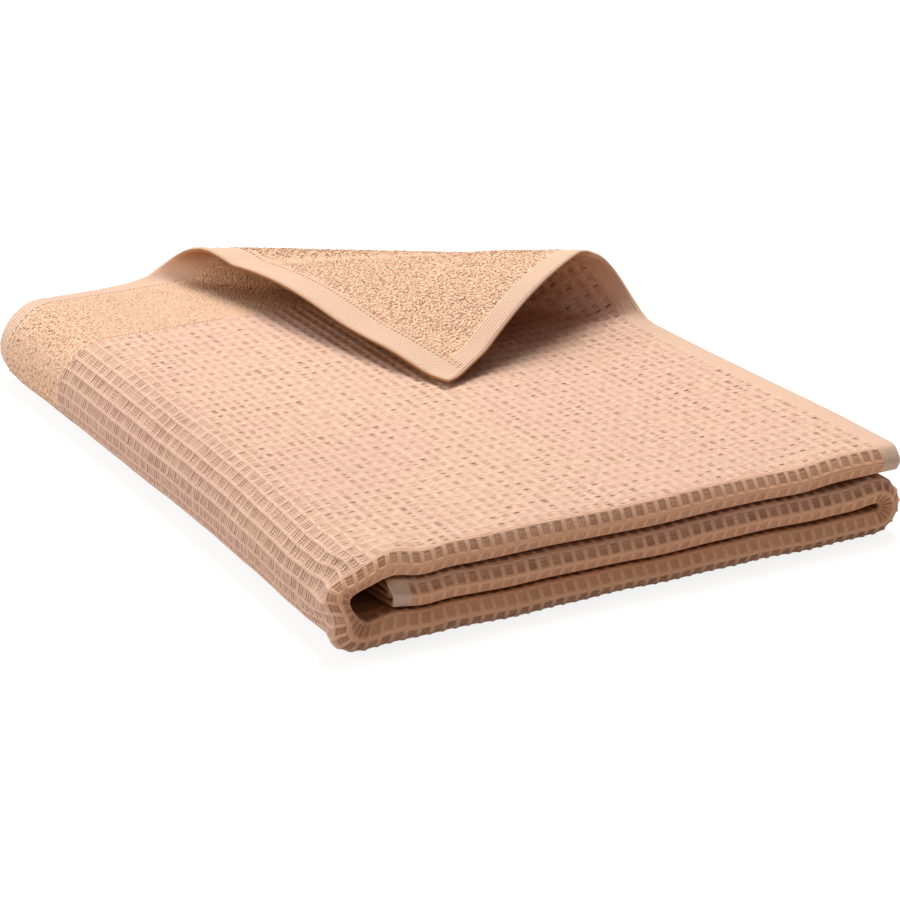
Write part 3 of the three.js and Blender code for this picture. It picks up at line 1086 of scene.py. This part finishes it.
def makeLoopMaterial(name, fibreGroup, base, deep):
    material, tree, shader = newMaterial(name)
    fibre = addGroup(tree, fibreGroup, {"Fibre": loopLook["fibre"]})
    colour = mixColour(times(fibre.outputs["Fleck"], loopLook["deep"]), base, deep)
    height = plus(fibre.outputs["Height"], fibre.outputs["Fleck"])
    paintFoldShadeAndBump(shader, colour, height, loopLook["bump"])
    return material


hemLook = {
    "ribs": 5, "rows": 9, "ribHeight": 0.4, "rowHeight": 0.15,   # to a cell of the weave
    "grooveShade": (0.55, 0.1, 0, 0.3), "blush": 0.3, "bump": 0.8,
}


def makeHemMaterial(fibreGroup):
    material, tree, shader = newMaterial("hemBand")
    fibre = addGroup(tree, fibreGroup)
    u, v = addNode(tree, "SeparateXYZ", {0: weaveCoordinates(tree)}).outputs[:2]
    ribs, rows = ribsNode(u, hemLook["ribs"]), ribsNode(v, hemLook["rows"])
    height = plus(times(ribs, hemLook["ribHeight"]), times(rows, hemLook["rowHeight"]))
    height = plus(height, fibre.outputs["Height"])
    # painted shade in the grooves between the ribs
    colour = mixColour(rangeNode(ribs, *hemLook["grooveShade"]), colours["hem"], colours["hemGrooveShade"])
    colour = mixColour(times(fibre.outputs["Blush"], hemLook["blush"]), colour, colours["blush"])
    paintFoldShadeAndBump(shader, colour, height, hemLook["bump"])
    return material


def dress(piece, *materials):
    for material in materials:
        piece.data.materials.append(material)
    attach(piece, "root")


stage = {
    "size": 12, "below": 0.8 * mm,
    "floor": 0.22, "floorGlow": 0.86,       # as the camera sees it
    "floorBounce": 0.62,                    # as the towel sees it, so that the folds keep their shade
    "sky": 1.0, "skyLight": 0.26,
}
lights = {
    # places and sizes in m
    "above": {"place": (0.45, 0.6, 2.0), "size": 1.1, "power": 46},
    "left": {"place": (-2.1, 0.5, 0.9), "size": 1.4, "power": 25},
}


def grey(level):
    return (level, level, level, 1)


# a surface or sky that shows the camera one shader and lights the towel with another
def splitByRay(tree, forLight, forCamera, output):
    ray = addNode(tree, "LightPath").outputs["Is Camera Ray"]
    mix = addNode(tree, "MixShader", {0: ray, 1: forLight.outputs[0], 2: forCamera.outputs[0]})
    feed(tree.nodes[output].inputs, {"Surface": mix.outputs[0]})


def makeStage():
    bpy.ops.mesh.primitive_plane_add(size=stage["size"], location=(0, 0, -stage["below"]))
    ground = bpy.context.object
    ground.name = "floor"
    material = bpy.data.materials.new("floor")
    material.use_nodes = True
    tree = material.node_tree
    shown = tree.nodes["Principled BSDF"]
    feed(shown.inputs, {
        "Base Color": grey(stage["floor"]), "Roughness": 1, "Specular IOR Level": 0,
        "Emission Color": grey(1), "Emission Strength": stage["floorGlow"],
    })
    bounce = addNode(tree, "BsdfDiffuse", {"Color": grey(stage["floorBounce"])})
    splitByRay(tree, bounce, shown, "Material Output")
    ground.data.materials.append(material)
    world = bpy.data.worlds.new("studio")
    world.use_nodes = True
    tree = world.node_tree
    shown = tree.nodes["Background"]
    feed(shown.inputs, {"Color": grey(1), "Strength": stage["sky"]})
    light = addNode(tree, "Background", {"Color": grey(1), "Strength": stage["skyLight"]})
    splitByRay(tree, light, shown, "World Output")
    bpy.context.scene.world = world
    bpy.context.scene.view_settings.view_transform = "Standard"


def addLights():
    for name, light in lights.items():
        data = bpy.data.lights.new(name, "AREA")
        data.size = light["size"]
        data.energy = light["power"]
        lamp = bpy.data.objects.new(name, data)
        lamp.location = light["place"]
        towards = Vector((0, 0, 0.03)) - lamp.location
        lamp.rotation_euler = towards.to_track_quat("-Z", "Y").to_euler()
        bpy.context.scene.collection.objects.link(lamp)


def report(piece):
    triangles = sum(len(polygon.vertices) - 2 for polygon in piece.data.polygons)
    print(piece.name + ":", triangles, "triangles")


aimCamera(shot)
shadeGrids = makeShadeGrids()
print("fold shade found")
cloth = makeCloth()
report(cloth)
borderHigh = borderEnd + borderLook["pastBorder"]
loopPieces = [
    makeFlapLoops(),
    makeBaredLoops(),
    makeBorderLoops("borderLoops", borderHigh, borderLook["fromSide"], spineEnd - stitches["fromFar"]),
    makeBorderLoops("backLoops", borderLook["backReach"], foldEnd + 2, sideLine - 1),
]
hemStitches = makeStitches()
for piece in loopPieces + [hemStitches]:
    report(piece)

weaveGroup = makeWeaveGroup()
fibreGroup = makeFibreGroup()
waffleInRelief = makeWaffleMaterial("waffleInRelief", weaveGroup, fibreGroup, waffleLook["reliefPits"])
waffleInBump = makeWaffleMaterial("waffleInBump", weaveGroup, fibreGroup, waffleLook["bumpPits"])
# the ground beneath the loops takes painted shade
loopGround = makeLoopMaterial("loopGround", fibreGroup, colours["loop"], colours["loopGroundShade"])
loopYarn = makeLoopMaterial("loopYarn", fibreGroup, colours["loop"], colours["light"])
hemBand = makeHemMaterial(fibreGroup)
thread = makeLoopMaterial("thread", fibreGroup, colours["thread"], colours["hem"])
dress(cloth, waffleInRelief, waffleInBump, loopGround, hemBand)
for piece in loopPieces:
    dress(piece, loopYarn)
dress(hemStitches, thread)
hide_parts("towel")
makeStage()
addLights()
print("materials, stage and lights set")
